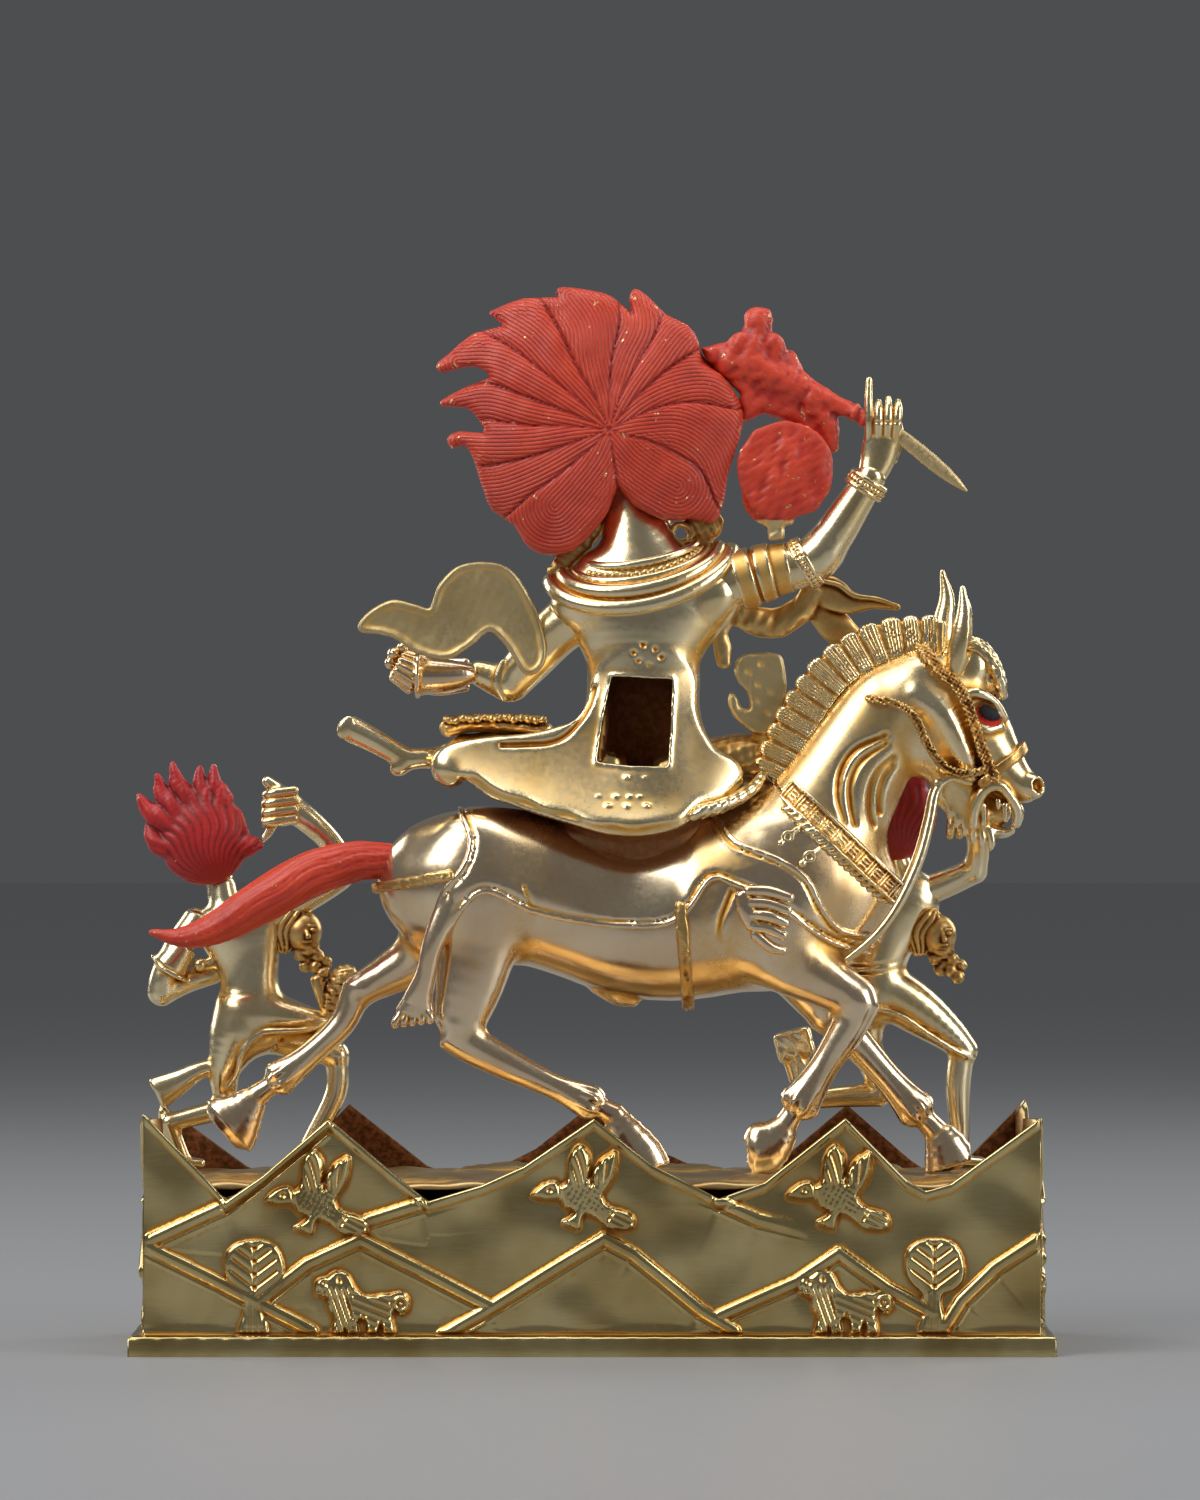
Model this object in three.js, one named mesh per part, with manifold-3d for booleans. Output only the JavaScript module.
// A gilt copper statue of a protector deity riding a mule, with two attendants on a mountain-walled base.
// Millimetres, +Z up. The statue's back is towards -Y, and the mule walks towards +X.
// The origin is the middle of the base's underside.
import * as THREE from "three";
import { mergeVertices } from "three/addons/utils/BufferGeometryUtils.js";
import Module from "manifold-3d";

const wasm = await Module();
wasm.setup();

// Driving sizes of the base
const baseWidth = 291; // over the foot flange, along X
const baseDepth = 112; // over the foot flange, along Y
const flangeHeight = 6.7;
const flangeReach = 4.6; // how far the foot flange stands out from the walls
const wallThickness = 3.2;
const peakHeight = 74.4; // of the mountain peaks
const valleyHeight = 48.4;
const reliefDepth = 1.8; // of the birds, trees and lions on the walls
const ridgeWidth = 2.6;
const ridgeDepth = 1.1;
const plateTop = 55; // the height that every figure stands at
const plateThickness = 5.5;
const plateGap = 1.4; // between the ground plate and the walls
const ledgeReach = 4.5; // how far the ledges stand in from the walls
const ledgeHeight = 3;

// Clearances
const seam = 0.3; // between two pieces that seat on each other
const cornerSeam = 0.3; // between the mitred walls

// Driving sizes of the mule
const nearSide = -12.5; // Y of the near legs
const farSide = 12.5; // Y of the far legs
const skinThickness = 1.6; // of the flayed skin over the mule's back
const strapThickness = 2;
const girthWidth = 4.6;
const crupperWidth = 3.6;
const collarWidth = 9.4;
const maneHeight = 9.5;
const maneThickness = 7;
const maneLocks = 13;

// Driving sizes of the rider
const seatX = 17; // where the rider sits, along X
const seatHeight = 108; // above the ground plate
const castWall = 2.6; // of the hollow torso
const cavityWidth = 20.5;
const cavityHeight = 27;
const cavityFloor = 23;
const skirtWall = 2.4;
const beadCount = 24;
const scarfThickness = 2.6;
const shawlTilt = 0.17; // the shawl climbs towards the raised right arm
const hairBack = 15.5; // how far the hair bulges behind the middle of the head
const hairFront = 4; // how far its rim stands in front of it
const lockGroove = 1.3; // depth of the grooves between the locks

// Driving sizes of the attendants
const attendantY = 30;
const rearAttendantX = -111.4;
const frontAttendantX = 100;

function bareCopy(geometry) {
  const bare = geometry.clone();
  for (const name of Object.keys(bare.attributes)) if (name !== "position") bare.deleteAttribute(name);
  return bare;
}

// Turns a closed geometry into a solid whose faces point out.
function solidOf(geometry) {
  const merged = mergeVertices(bareCopy(geometry), 1e-4);
  const triVerts = new Uint32Array(merged.index.array);
  const vertProperties = new Float32Array(merged.attributes.position.array);
  const made = new wasm.Manifold(new wasm.Mesh({ numProp: 3, vertProperties, triVerts }));
  if (made.volume() >= 0) return made;
  for (let i = 0; i < triVerts.length; i += 3) {
    [triVerts[i + 1], triVerts[i + 2]] = [triVerts[i + 2], triVerts[i + 1]];
  }
  return new wasm.Manifold(new wasm.Mesh({ numProp: 3, vertProperties, triVerts }));
}

function geometryOf(solid) {
  const mesh = solid.getMesh();
  const position = new Float32Array(mesh.numVert * 3);
  for (let i = 0; i < mesh.numVert; i++) {
    position.set(mesh.vertProperties.subarray(i * mesh.numProp, i * mesh.numProp + 3), i * 3);
  }
  const made = new THREE.BufferGeometry();
  made.setAttribute("position", new THREE.BufferAttribute(position, 3));
  made.setIndex(new THREE.BufferAttribute(new Uint32Array(mesh.triVerts), 1));
  const flat = made.toNonIndexed();
  flat.computeVertexNormals();
  return flat;
}

const join = (...solids) => solids.flat().reduce((a, b) => a.add(b));
const cut = (solid, ...tools) => tools.flat().reduce((a, b) => a.subtract(b), solid);
const within = (solid, region) => solid.intersect(region);
const moved = (solid, [x, y, z]) => solidOf(geometryOf(solid).translate(x, y, z));

// Trimming can leave crumbs beside a piece, and only the piece itself is kept.
function largestOf(solid) {
  const geometry = mergeVertices(bareCopy(geometryOf(solid)), 1e-5);
  const corners = geometry.index.array;
  const parent = Array.from({ length: geometry.attributes.position.count }, (_, i) => i);
  const root = (i) => {
    while (parent[i] !== i) i = parent[i] = parent[parent[i]];
    return i;
  };
  for (let i = 0; i < corners.length; i += 3) {
    parent[root(corners[i])] = root(corners[i + 1]);
    parent[root(corners[i + 1])] = root(corners[i + 2]);
  }
  const bodies = new Map();
  for (let i = 0; i < corners.length; i += 3) {
    const key = root(corners[i]);
    if (!bodies.has(key)) bodies.set(key, []);
    bodies.get(key).push(corners[i], corners[i + 1], corners[i + 2]);
  }
  const made = [...bodies.values()].map((index) => geometry.clone().setIndex(index).toNonIndexed());
  const best = made.reduce((a, b) => (volumeOf(a) > volumeOf(b) ? a : b));
  best.computeVertexNormals();
  return best;
}

function volumeOf(geometry) {
  const [a, b, c] = [new THREE.Vector3(), new THREE.Vector3(), new THREE.Vector3()];
  let total = 0;
  for (let i = 0; i < geometry.attributes.position.count; i += 3) {
    a.fromBufferAttribute(geometry.attributes.position, i);
    b.fromBufferAttribute(geometry.attributes.position, i + 1);
    c.fromBufferAttribute(geometry.attributes.position, i + 2);
    total += a.dot(b.cross(c)) / 6;
  }
  return total;
}

const domedFrom = 6; // half width above which an end is rounded in two steps

// Sweeps an oval section along a smooth line. A station is [x, y, z, half width, half height]: the width
// lies along side, and the height is square to it. The ends are domed by cap times the section.
function loft(stations, { sides = 8, steps = 1, side = [0, 1, 0], cap = 0.8, grow = 0 } = {}) {
  const line = new THREE.CatmullRomCurve3(stations.map(([x, y, z]) => new THREE.Vector3(x, y, z)));
  const sizes = new THREE.CatmullRomCurve3(
    stations.map(([, , , w, h = w]) => new THREE.Vector3(w, h, 0)), false, "catmullrom", 0.35);
  const across = new THREE.Vector3(...side);
  const rings = [];
  const ring = (t, along, scale) => {
    const tangent = line.getTangent(t);
    const wide = across.clone().addScaledVector(tangent, -across.dot(tangent)).normalize();
    const high = tangent.clone().cross(wide);
    const size = sizes.getPoint(t);
    const centre = line.getPoint(t).addScaledVector(tangent, along * (Math.min(size.x, size.y) * cap + grow));
    rings.push(Array.from({ length: sides }, (_, i) => {
      const a = (2 * Math.PI * i) / sides;
      return centre.clone()
        .addScaledVector(wide, Math.cos(a) * (size.x + grow) * scale)
        .addScaledVector(high, Math.sin(a) * (size.y + grow) * scale);
    }));
    return centre;
  };
  const domeOf = ([, , , w, h = w]) => (Math.min(w, h) > domedFrom ? [[1, 0], [0.7, 0.7]] : [[1, 0]]);
  const first = line.getPoint(0);
  const firstTangent = line.getTangent(0);
  for (const [scale, along] of domeOf(stations[0]).reverse()) ring(0, -along, scale);
  const count = (stations.length - 1) * steps;
  for (let i = 1; i < count; i++) ring(i / count, 0, 1);
  for (const [scale, along] of domeOf(stations.at(-1))) ring(1, along, scale);
  const ends = [
    first.addScaledVector(firstTangent, -(Math.min(stations[0][3], stations[0][4] ?? 99) * cap + grow)),
    line.getPoint(1).addScaledVector(
      line.getTangent(1), Math.min(stations.at(-1)[3], stations.at(-1)[4] ?? 99) * cap + grow),
  ];
  return skinned(rings, ends);
}

// Closes a stack of rings into a solid, with a point at each end.
function skinned(rings, ends) {
  const sides = rings[0].length;
  const points = [...rings.flat(), ...ends];
  const faces = [];
  for (let r = 0; r + 1 < rings.length; r++) {
    for (let i = 0; i < sides; i++) {
      const [a, b] = [r * sides + i, r * sides + ((i + 1) % sides)];
      faces.push(a, b, a + sides, b, b + sides, a + sides);
    }
  }
  const [start, finish, last] = [rings.length * sides, rings.length * sides + 1, (rings.length - 1) * sides];
  for (let i = 0; i < sides; i++) {
    const j = (i + 1) % sides;
    faces.push(start, j, i, finish, last + i, last + j);
  }
  return solidOf(new THREE.BufferGeometry().setFromPoints(points).setIndex(faces));
}

// A closed ring: the sections that sectionAt gives for each step round a loop, joined up.
function ringOf(sectionAt, steps) {
  const sections = Array.from({ length: steps }, (_, s) => sectionAt(s / steps));
  const sides = sections[0].length;
  const faces = [];
  for (let s = 0; s < steps; s++) {
    const next = ((s + 1) % steps) * sides;
    for (let i = 0; i < sides; i++) {
      const j = (i + 1) % sides;
      faces.push(s * sides + i, s * sides + j, next + i, s * sides + j, next + j, next + i);
    }
  }
  return solidOf(new THREE.BufferGeometry().setFromPoints(sections.flat()).setIndex(faces));
}

// A ring of round section, whose radius may swell into beads.
const hoop = (pointAt, radiusAt, { steps = 16, sides = 5 } = {}) => ringOf((t) => {
  const tangent = pointAt(t + 0.001).sub(pointAt(t - 0.001)).normalize();
  const out = new THREE.Vector3(0, 0, 1).addScaledVector(tangent, -tangent.z).normalize();
  const flat = tangent.clone().cross(out);
  return Array.from({ length: sides }, (_, i) => {
    const a = (2 * Math.PI * i) / sides;
    return pointAt(t)
      .addScaledVector(out, Math.cos(a) * radiusAt(t))
      .addScaledVector(flat, Math.sin(a) * radiusAt(t));
  });
}, steps);

function ball([x, y, z], [rx, ry, rz], { across = 8, down = 6, grow = 0 } = {}) {
  const shape = new THREE.SphereGeometry(1, across, down);
  shape.scale(rx + grow, (ry ?? rx) + grow, (rz ?? rx) + grow);
  return solidOf(shape.rotateX(Math.PI / 2).translate(x, y, z));
}

// A block, tipped in the XZ plane by a number of degrees from X towards Z.
function box([x, y, z], [dx, dy, dz], tip = 0) {
  return solidOf(new THREE.BoxGeometry(dx, dy, dz).rotateY((-tip * Math.PI) / 180).translate(x, y, z));
}

// A flat piece cut to an outline in the XZ plane, from y to y + thickness, with rounded edges.
function plate(outline, y, thickness, { smooth = 0, bevel = 0 } = {}) {
  const corners = outline.map(([x, z]) => new THREE.Vector2(x, z));
  const shape = smooth
    ? new THREE.Shape(new THREE.CatmullRomCurve3(
      corners.map((p) => new THREE.Vector3(p.x, p.y, 0)), true).getPoints(outline.length * smooth)
      .slice(0, -1).map((p) => new THREE.Vector2(p.x, p.y)))
    : new THREE.Shape(corners);
  const made = new THREE.ExtrudeGeometry(shape, {
    depth: thickness - 2 * bevel,
    bevelEnabled: bevel > 0,
    bevelThickness: bevel,
    bevelSize: bevel,
    bevelOffset: -bevel,
    bevelSegments: 1,
    steps: 1,
  });
  return solidOf(made.rotateX(Math.PI / 2).translate(0, y + thickness - bevel, 0));
}

// The base: four mountain-edged walls with a ground plate between them

const wallX = baseWidth / 2 - flangeReach;
const wallY = baseDepth / 2 - flangeReach;

// Heights along a wall, as [share of its half length, share of the rise from valley to peak].
const skylineOf = (steps, halfLength) => steps.map(
  ([share, rise]) => [share * halfLength, valleyHeight + rise * (peakHeight - valleyHeight)]);

// Corner tips, three peaks and the valleys between them.
const longSkyline = skylineOf([
  [-1, 1.06], [-0.862, 0.29], [-0.818, 0], [-0.734, 0.31], [-0.588, 1], [-0.43, 0.28], [-0.366, 0], [-0.248, 0.19],
  [-0.153, 0.42], [0.003, 1], [0.132, 0.45], [0.281, 0.03], [0.383, 0.23], [0.5635, 1], [0.7, 0.25],
  [0.742, 0.12], [0.8, 0.21], [1, 1.01],
], wallX);
const shortSkyline = skylineOf([[-1, 1.01], [-0.62, 0.05], [-0.5, 0], [0, 0.92], [0.5, 0], [0.62, 0.05], [1, 1.06]], wallY);

// Raised lines that draw nearer mountains on a wall, each from foot to peak to foot.
const ridges = (lines) => lines.map((line) => plate([
  ...line.map(([x, z]) => [x, z - ridgeWidth / 2]),
  ...line.toReversed().map(([x, z]) => [x, z + ridgeWidth / 2]),
], -ridgeDepth, ridgeDepth + 0.5));

// Flat raised figures on the walls, drawn round their middles.
const birdOutline = [
  [-16, 3], [-12, 7], [-8, 4.6], [-5.5, 5], [-4, 18], [1, 8], [10.5, 16.5], [7.5, 4], [9, 1], [17, -8], [10.5, -7.4],
  [2, -4], [-4, -11.5], [-7, -10], [-6, -3], [-10, 0.6],
];
const lionOutline = [
  [-14, 4], [-12.5, 10], [-6, 11], [-3.5, 6], [6, 5], [9.6, 7], [12.6, 12], [17, 10], [16, 4], [12.5, 0], [14.5, -11],
  [8.6, -11], [7, -4], [-2, -4], [-3, -11], [-8.6, -11], [-8, -3], [-13.6, -0.6],
];
const treeOutline = [
  [-9, 4], [-7, 11.4], [-1, 15], [6, 13], [9, 6], [8, -1], [2, -4], [2.6, -17], [-2.6, -17], [-2, -4], [-8, -2],
];
const motif = (outline) => (x, z) => plate(
  outline.map(([dx, dz]) => [x + dx, z + dz]), -reliefDepth, reliefDepth + 0.5);
const bird = motif(birdOutline);
const lion = motif(lionOutline);
const tree = motif(treeOutline);

// A wall in its own frame: it faces -Y, stands on the flange's foot and runs along X.
function wall(skyline, halfLength, reach, motifs, lines) {
  const outline = [[-halfLength, 0], [halfLength, 0], ...skyline.toReversed()];
  const sheet = plate(outline, 0, wallThickness);
  const flange = plate(
    [[-halfLength - reach, 0], [halfLength + reach, 0], [halfLength + reach, flangeHeight - 1.4],
      [halfLength + reach - 1.4, flangeHeight], [-halfLength - reach + 1.4, flangeHeight],
      [-halfLength - reach, flangeHeight - 1.4]], -reach, reach + 0.8);
  const ledgeTop = plateTop - plateThickness - seam;
  const ledgeInset = wallThickness + ledgeReach + 4;
  const ledge = box(
    [0, wallThickness + ledgeReach / 2 - 0.5, ledgeTop - ledgeHeight / 2],
    [2 * (halfLength - ledgeInset), ledgeReach + 1, ledgeHeight]);
  const relief = within(join(...motifs, ...ridges(lines)), plate(outline, -2 * reliefDepth, 3 * reliefDepth));
  return join(sheet, flange, ledge, relief);
}

// Cuts a wall's ends at 45 degrees, so that four walls meet in mitres.
function mitred(solid, halfLength) {
  const size = 400;
  const corner = (sign) => {
    const block = new THREE.BoxGeometry(size, 2 * size, size).translate((sign * size) / 2, 0, 0);
    return solidOf(block.rotateZ((sign * Math.PI) / 4).translate(sign * (halfLength - cornerSeam), 0, 0));
  };
  return cut(solid, corner(1), corner(-1));
}

// Points on a wall, as shares of its half length and of the peaks' height.
const onWall = (halfLength) => ([share, rise]) => [share * halfLength, rise * peakHeight];
const longLines = [
  [[-0.994, 0.484], [-0.815, 0.637], [-0.593, 0.95]],
  [[-0.994, 0.462], [-0.823, 0.301], [-0.625, 0.108]],
  [[-0.742, 0.234], [-0.639, 0.384], [-0.518, 0.492], [-0.227, 0.21]],
  [[-0.5, 0.573], [-0.386, 0.64]],
  [[-0.334, 0.1], [-0.234, 0.196], [0.026, 0.497], [0.092, 0.43], [0.241, 0.196], [0.317, 0.11]],
  [[0.281, 0.64], [0.466, 0.532]],
  [[0.281, 0.169], [0.453, 0.312], [0.549, 0.435], [0.657, 0.288], [0.759, 0.183]],
  [[0.813, 0.21], [0.994, 0.492]],
];
const shortLines = [
  [[-0.973, 0.484], [-0.506, 0.62], [-0.039, 0.92]],
  [[-0.973, 0.403], [-0.389, 0.6], [0.156, 0.296], [0.584, 0.538], [0.973, 0.349]],
  [[-0.584, 0.188], [0.156, 0.296]],
];

function longWall() {
  const at = onWall(wallX);
  const motifs = [
    ...[[-0.612, 0.656], [-0.017, 0.677], [0.551, 0.677]].map((spot) => bird(...at(spot))),
    ...[[-0.754, 0.358], [0.762, 0.363]].map((spot) => tree(...at(spot))),
    ...[[-0.528, 0.242], [0.549, 0.247]].map((spot) => lion(...at(spot))),
  ];
  return mitred(wall(longSkyline, wallX, flangeReach, motifs, longLines.map((line) => line.map(at))), wallX);
}

function shortWall() {
  const at = onWall(wallY);
  const motifs = [bird(...at([0.039, 0.618])), lion(...at([-0.467, 0.249])), tree(...at([0.623, 0.355]))];
  return mitred(wall(shortSkyline, wallY, flangeReach, motifs, shortLines.map((line) => line.map(at))), wallY);
}

// The ground plate: a sea with low waves, and the mounds that the raised hooves stand on.
function groundPlate(grow) {
  const halfX = wallX - wallThickness - plateGap;
  const halfY = wallY - wallThickness - plateGap;
  const slab = box([0, 0, plateTop - plateThickness / 2 + grow], [2 * halfX, 2 * halfY, plateThickness]);
  const waveCount = 9;
  const waves = Array.from({ length: waveCount }, (_, i) => {
    const x = (i - (waveCount - 1) / 2) * ((2 * halfX) / (waveCount + 0.6));
    const y = halfY * (i % 2 ? 0.72 : -0.72);
    return ball([x, y, plateTop - 2], [15, 7, 4.4], { grow });
  });
  const room = box([0, 0, plateTop], [2 * halfX, 2 * halfY, 2 * plateThickness]);
  return within(join(slab, ...waves), room);
}

// The mule, in millimetres above the ground plate

const barrel = [
  [-54, 0, 90, 13, 17], [-45, 0, 91, 18.5, 23.5], [-33, 0, 91.2, 21, 25], [-18, 0, 90, 21, 24],
  [-4, 0, 84.5, 20.5, 22], [10, 0, 78.8, 21, 21.5], [24, 0, 77, 22, 22.5], [38, 0, 81.5, 23, 26],
  [52, 0, 88, 22.5, 28.5], [66, 0, 91.5, 21, 25.5], [79, 0, 90.5, 17, 20], [87, 0, 88, 12, 14],
];
const neck = [
  [56, 0, 94, 18, 24], [68.5, 0, 105, 16, 22], [78.4, 0, 120.8, 13.5, 18.8], [86.6, 0, 135, 12.2, 16.8],
  [95.4, 0, 147.2, 11.2, 15.6], [106, 0, 152, 10.6, 14.4],
];
const head = [
  [104, 0, 152, 11, 15.5], [112, 0, 147.5, 11.5, 17.5], [121, 0, 139.5, 10.4, 14], [127.5, 0, 131.5, 8.4, 10.8],
  [133.5, 0, 124.5, 7.2, 8.2], [138, 0, 119.8, 6.4, 5.6],
];
const jaw = [[115, 0, 127, 7, 6.5], [121, 0, 117.5, 5.6, 5.2], [126.5, 0, 112.6, 5, 3.6]];

function muleBody(grow) {
  const nostrils = [-1, 1].map((s) => ball([140.8, s * 3.6, 121.6], [3.2, 2.6, 3], { across: 6, down: 4, grow }));
  const eyes = [-1, 1].map((s) => ball([124.5, s * 7.6, 146.5], [6, 3.4, 4.6], { across: 6, down: 4, grow }));
  return join(
    loft(barrel, { sides: 12, grow }),
    loft(neck, { sides: 8, grow }),
    loft(head, { sides: 8, grow }),
    ball([109.5, 0, 139.5], [13.5, 12.2, 13], { across: 10, down: 6, grow }),
    loft(jaw, { sides: 6, grow }),
    ...nostrils, ...eyes);
}

// A bent leg in two lengths: the meaty upper leg and the lean lower leg, with a feathered fetlock and pastern.
function leg(upper, lower, hoof, grow) {
  return join(
    loft(upper, { sides: 8, grow }),
    loft(lower, { sides: 7, grow, cap: 0.5 }),
    loft(hoof, { sides: 8, grow, cap: 0.15, steps: 1 }));
}

const nearHindLeg = (grow) => leg(
  [[-35, nearSide + 3, 88, 9, 15], [-37, nearSide, 72, 8.6, 12.5], [-40, nearSide, 56, 7.4, 10.4],
    [-43, nearSide, 46.5, 6, 8.2]],
  [[-44.5, nearSide, 43.5, 5.4, 6.4], [-34, nearSide, 39, 5, 5.6], [-22, nearSide, 32.5, 4.3, 4.6],
    [-10, nearSide, 27.3, 3.7, 3.9], [-1.5, nearSide, 23.6, 4.8, 5.4], [2, nearSide, 21.8, 3.4, 3.4],
    [6, nearSide, 19.8, 3.9, 4], [9, nearSide, 17, 3.8, 4]],
  [[7, nearSide, 17.5, 3.8, 4.4], [10.5, nearSide, 13.5, 5, 6], [14, nearSide, 6.5, 5.8, 8.5],
    [15.5, nearSide, 1.2, 6, 9.6]], grow);

const farHindLeg = (grow) => leg(
  [[-46, farSide - 3, 82, 9, 14], [-56, farSide, 69, 7.4, 9], [-66, farSide, 62.5, 6, 6.6],
    [-74, farSide, 57.5, 5, 5.4]],
  [[-74.5, farSide, 58, 4.8, 5.2], [-80, farSide, 47, 4.1, 4.3], [-90, farSide, 37.3, 3.7, 4],
    [-100, farSide, 30.6, 4.6, 5.2], [-104, farSide, 27.4, 3.3, 3.4], [-108, farSide, 23.8, 3.7, 3.8]],
  [[-109, farSide, 22.6, 3.6, 4.2], [-111.5, farSide, 19.5, 4.6, 6.2], [-115, farSide, 15.6, 5.6, 9],
    [-117, farSide, 13.8, 5.8, 10.6]], grow);

const nearForeLeg = (grow) => leg(
  [[46, nearSide + 2, 82, 9.5, 15], [60, nearSide, 69, 8.6, 11.4], [74, nearSide, 61, 7.2, 8.4],
    [85, nearSide, 54.5, 6, 6.6]],
  [[85.5, nearSide, 54, 5.6, 6], [80.5, nearSide, 45, 5.2, 5.8], [73, nearSide, 33.5, 4.4, 4.9],
    [66.5, nearSide, 23.5, 5.2, 6.4], [64, nearSide, 19.8, 3.5, 3.7], [61.5, nearSide, 15.8, 3.9, 4.1]],
  [[61, nearSide, 14.5, 3.8, 4.6], [58.5, nearSide, 11, 4.8, 6.4], [54.6, nearSide, 7.6, 5.6, 8.2],
    [51.8, nearSide, 8, 5.8, 9]], grow);

const farForeLeg = (grow) => leg(
  [[56, farSide - 3, 76, 9, 12], [66, farSide, 62, 7.4, 8.6], [76, farSide, 50, 6, 6.8]],
  [[75, farSide, 51.5, 5.8, 6.4], [84, farSide, 42, 5, 5.6], [95.5, farSide, 29, 4.3, 4.6],
    [104, farSide, 19.4, 5.2, 6.2], [107, farSide, 16, 3.5, 3.7], [110, farSide, 12.9, 3.9, 4]],
  [[111.5, farSide, 11, 3.9, 4.4], [113.4, farSide, 7.6, 5, 6.6], [115.5, farSide, 1.4, 5.8, 9]], grow);

const tail = (grow) => loft(
  [[-57.5, 0, 98.5, 5.2], [-74, -1, 99.5, 6], [-90, -2, 95.4, 7], [-106, -3, 86.5, 7], [-121, -3, 78, 5.4],
    [-132, -3, 75.2, 3.2], [-140.5, -3, 76.4, 1.2]], { sides: 8, grow });

// The line of the crest, from the withers to the poll.
const crest = new THREE.CatmullRomCurve3(
  [[60, 106], [65.5, 124], [71.5, 141], [82, 155.5], [96, 163.5], [111, 166]]
    .map(([x, z]) => new THREE.Vector3(x, 0, z)));

function mane(grow) {
  const outline = [];
  const inner = [];
  const perLock = 4;
  for (let i = 0; i <= maneLocks * perLock; i++) {
    const t = i / (maneLocks * perLock);
    const point = crest.getPointAt(t);
    const tangent = crest.getTangentAt(t);
    const bulge = Math.sin(Math.PI * ((i % perLock) / perLock)) * 1.4;
    const reach = maneHeight - 1.4 + bulge + grow;
    outline.push([point.x - tangent.z * reach, point.z + tangent.x * reach]);
    if (i % perLock === 0) inner.unshift([point.x + tangent.z * 4, point.z - tangent.x * 4]);
  }
  return plate([...outline.toReversed(), ...inner.toReversed()], -maneThickness / 2 - grow, maneThickness + 2 * grow);
}

const forelock = (grow) => loft(
  [[119, 0, 165, 4, 3.5], [125, 0, 164.5, 4.8, 4.4], [129.5, 0, 157.5, 4.4, 4.2], [131.5, 0, 150, 3, 2.6]],
  { sides: 6, grow });

const ear = (side) => (grow) => loft(
  side < 0
    ? [[115, -6.5, 161, 3.4, 3.4], [117.5, -7.5, 169, 3.8, 3.6], [118.6, -8, 178, 2.6, 2.6], [118.4, -8, 185.5, 1, 1]]
    : [[113, 6.5, 164, 3.4, 3.4], [113.5, 7.5, 173, 3.8, 3.6], [113.5, 8, 182, 2.6, 2.6], [112.9, 8, 191, 1, 1]],
  { sides: 6, grow });

// A band laid on the mule: what a slab takes out of a thin layer over the casting.
const layer = (outer, inner) => cut(muleBody(outer), muleBody(inner));

function girthStrap(grow) {
  const slab = box([31.5, 0, 66], [girthWidth + 2 * grow, 80, 50 + 2 * grow]);
  return within(layer(seam + strapThickness + grow, seam - grow), slab);
}

// A strap round the rump, under the tail.
function crupperStrap(grow) {
  const slab = box([-60, 0, 93.2], [36, 80, crupperWidth + 2 * grow], 9);
  return within(layer(seam + strapThickness + grow, seam - grow), slab);
}

function breastCollar(grow) {
  const slab = box([75.5, 0, 100.5], [90, 80, collarWidth + 2 * grow], -45);
  return within(layer(seam + strapThickness + grow, seam - grow), slab);
}

// A snake bridle: a cheek strap down each side and a band over the nose.
function headstall(grow) {
  const slab = box([115.6, 0, 148], [4.2 + 2 * grow, 80, 64], 29);
  return within(layer(seam + strapThickness + grow, seam - grow), slab);
}

function noseband(grow) {
  const slab = box([129, 0, 130], [4.2 + 2 * grow, 80, 40], -48);
  return within(layer(seam + strapThickness + grow, seam - grow), slab);
}

// The flayed human skin laid over the mule as a saddlecloth, with its near foot and hand.
const skinOutline = [
  [-46, 118], [-41, 104], [-44, 88], [-52, 71], [-44, 66], [-36, 82], [-22, 86], [-6, 80], [10, 70], [30, 66],
  [40, 70], [44, 84], [58, 84], [72, 78], [84, 74], [92, 72], [92, 80], [80, 88], [66, 99], [50, 112], [44, 124],
];

function flayedSkin(grow) {
  const region = plate(skinOutline, -60, 120);
  const cloth = within(layer(seam + skinThickness + grow, seam - grow), region);
  const foot = (side) => [
    loft([[-47, side * 21, 78, 2.2, 4], [-51, side * 20.5, 66, 2.2, 3.6], [-55.5, side * 18, 55, 2.4, 4.6],
      [-57.5, side * 17.5, 50.5, 2, 5.4]], { sides: 6, grow }),
  ];
  return join(cloth, ...foot(-1), ...foot(1));
}

const rein = (side) => (grow) => loft(
  [[110, side * 9, 130, 1.7], [108.5, side * 11, 117, 1.7], [104.5, side * 13, 102, 1.7],
    [97.5, side * 15, 88, 1.7], [89, side * 15.5, 76, 1.7], [76, side * 13, 68, 1.7]],
  { sides: 6, grow });

// The rider, in millimetres above the seat. Her back is towards -Y.

const torsoLine = [
  [0, 0, -6, 12, 14], [0, 0, 8, 14.6, 18], [0, 0, 22, 14, 17.4], [0, 0, 34, 13, 15.6], [-0.6, 0, 46, 12.4, 15],
  [-0.8, 0, 57, 13.2, 18], [-0.8, 0, 67, 14.2, 23.4], [0, 0, 76, 13.8, 27], [0.6, 0, 84, 11, 22],
];

function riderTorso(grow) {
  const neckColumn = loft([[0, 0, 84, 11, 15], [1, 1, 94, 9, 11], [2, 2, 104, 8, 8.4]], { sides: 8, grow });
  return join(loft(torsoLine, { sides: 12, grow }), neckColumn);
}

const cavityHole = (grow) => plate([
  [-cavityWidth / 2 - 4 - grow, cavityFloor - grow],
  [cavityWidth / 2 - 1 + grow, cavityFloor - 0.8 - grow],
  [cavityWidth / 2 - 1.6 + grow, cavityFloor + cavityHeight - 0.5 + grow],
  [-cavityWidth / 2 - 1 - grow, cavityFloor + cavityHeight + grow],
], -40, 40);

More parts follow.
